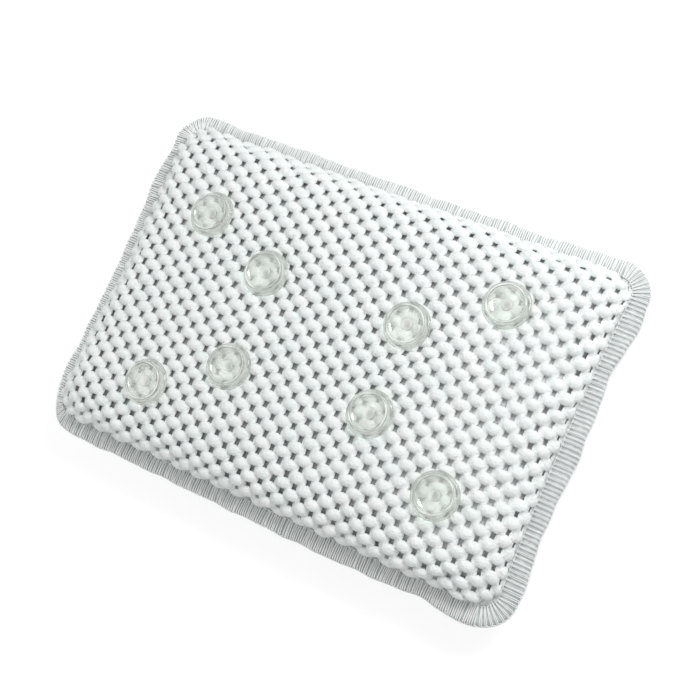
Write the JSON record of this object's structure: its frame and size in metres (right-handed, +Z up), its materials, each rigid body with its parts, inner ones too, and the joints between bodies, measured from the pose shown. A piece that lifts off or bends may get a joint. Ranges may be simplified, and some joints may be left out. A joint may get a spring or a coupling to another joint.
{
  "type": "bath pillow",
  "caption": "Crowned head pillow for a bath, foam core in foam-coated mesh covers with an overlocked edge and clear suction cups on its back.",
  "frame": {"origin": "on the surface that the pillow lies on, below the middle of its outline", "axes": "+X along the pillow's length, +Y across its width, +Z up, out of its back with the suction cups"},
  "size_m": [0.34, 0.23, 0.0583],
  "materials": {
    "mesh": "satin",
    "foam": "matte",
    "thread": "matte",
    "clear_pvc": "gloss"
  },
  "bodies": {
    "pillow": {"front_cover": "mesh", "back_cover": "mesh", "foam_core": "foam", "needle_thread": "thread", "upper_looper_thread": "thread", "lower_looper_thread": "thread"},
    "cup_1": {"suction_cup_1": "clear_pvc"},
    "cup_2": {"suction_cup_2": "clear_pvc"},
    "cup_3": {"suction_cup_3": "clear_pvc"},
    "cup_4": {"suction_cup_4": "clear_pvc"},
    "cup_5": {"suction_cup_5": "clear_pvc"},
    "cup_6": {"suction_cup_6": "clear_pvc"},
    "cup_7": {"suction_cup_7": "clear_pvc"},
    "cup_8": {"suction_cup_8": "clear_pvc"}
  },
  "joints": [
    {"name": "cup_1_spin", "type": "hinge", "parent": "pillow", "child": "cup_1", "pos_m": [-0.10429, 0.04814, 0.05107], "axis": [-0.0553, 0.0199, 0.9983], "continuous": true},
    {"name": "cup_2_spin", "type": "hinge", "parent": "pillow", "child": "cup_2", "pos_m": [-0.05097, 0.0253, 0.05226], "axis": [-0.0033, 0.0021, 1], "continuous": true},
    {"name": "cup_3_spin", "type": "hinge", "parent": "pillow", "child": "cup_3", "pos_m": [0.0491, 0.02713, 0.05227], "axis": [0.0029, 0.0026, 1], "continuous": true},
    {"name": "cup_4_spin", "type": "hinge", "parent": "pillow", "child": "cup_4", "pos_m": [0.10026, 0.06003, 0.05093], "axis": [0.0476, 0.0457, 0.9978], "continuous": true},
    {"name": "cup_5_spin", "type": "hinge", "parent": "pillow", "child": "cup_5", "pos_m": [-0.09534, -0.06614, 0.05084], "axis": [-0.0396, -0.0682, 0.9969], "continuous": true},
    {"name": "cup_6_spin", "type": "hinge", "parent": "pillow", "child": "cup_6", "pos_m": [-0.0468, -0.03702, 0.05224], "axis": [-0.0023, -0.0087, 1], "continuous": true},
    {"name": "cup_7_spin", "type": "hinge", "parent": "pillow", "child": "cup_7", "pos_m": [0.05099, -0.02989, 0.05226], "axis": [0.0033, -0.0036, 1], "continuous": true},
    {"name": "cup_8_spin", "type": "hinge", "parent": "pillow", "child": "cup_8", "pos_m": [0.10795, -0.05848, 0.05058], "axis": [0.0643, -0.0425, 0.997], "continuous": true}
  ]
}
